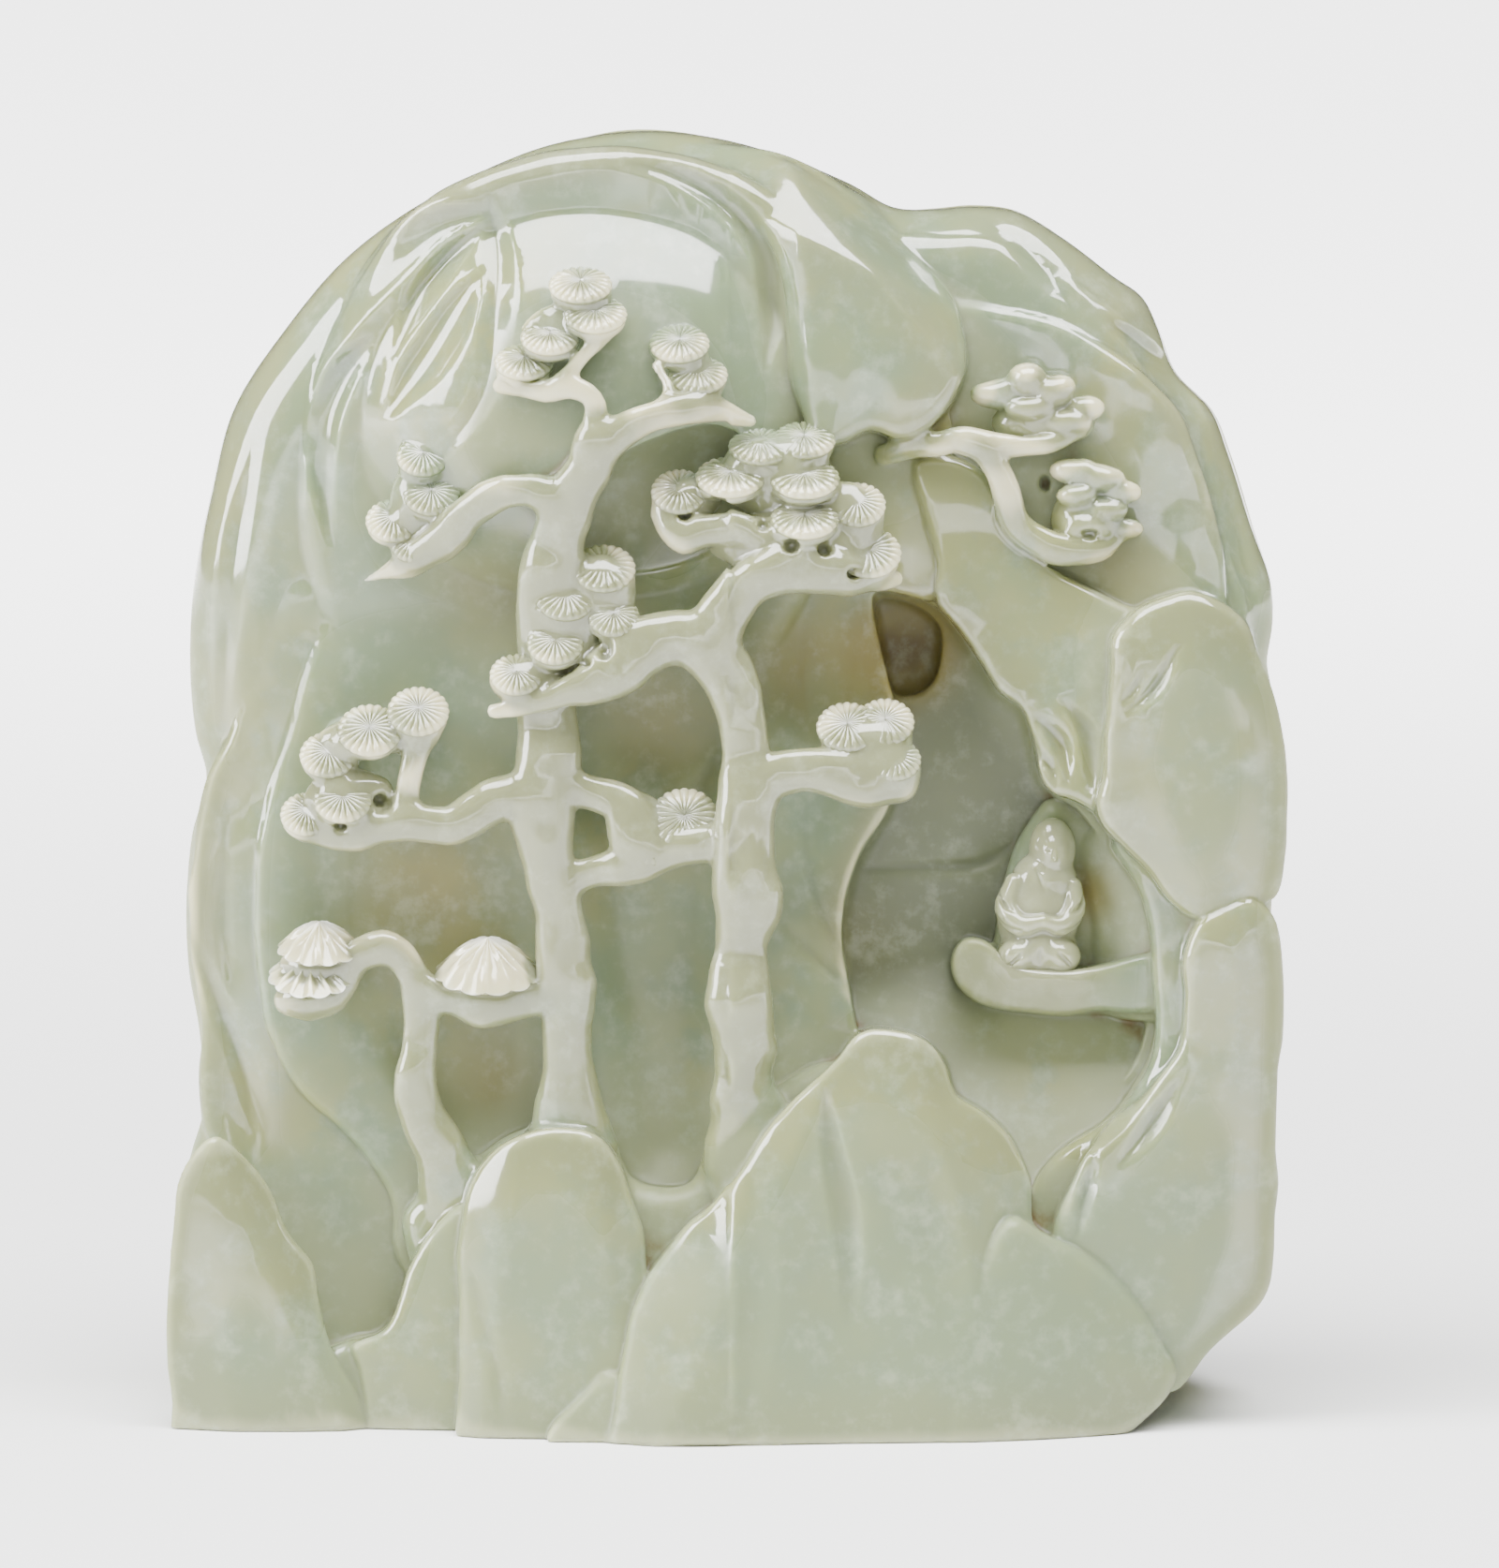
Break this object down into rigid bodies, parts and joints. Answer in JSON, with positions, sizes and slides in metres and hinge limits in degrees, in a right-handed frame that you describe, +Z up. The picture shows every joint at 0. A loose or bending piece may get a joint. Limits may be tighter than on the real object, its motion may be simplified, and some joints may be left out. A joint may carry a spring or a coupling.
{
  "type": "jade mountain carving",
  "caption": "Upright pale green jade boulder carved in deep relief with pine trees, rocks and a seated robed figure in a grotto; stands on its flat underside.",
  "frame": {"origin": "on the flat underside, below the middle of the carving's box", "axes": "+Z up, +X to the viewer's right, -Y towards the viewer of the carved front"},
  "size_m": [0.1372, 0.0632, 0.1572],
  "materials": {
    "jade": "polished, translucent"
  },
  "bodies": {
    "root": {"jade_mountain": "jade"}
  },
  "joints": []
}
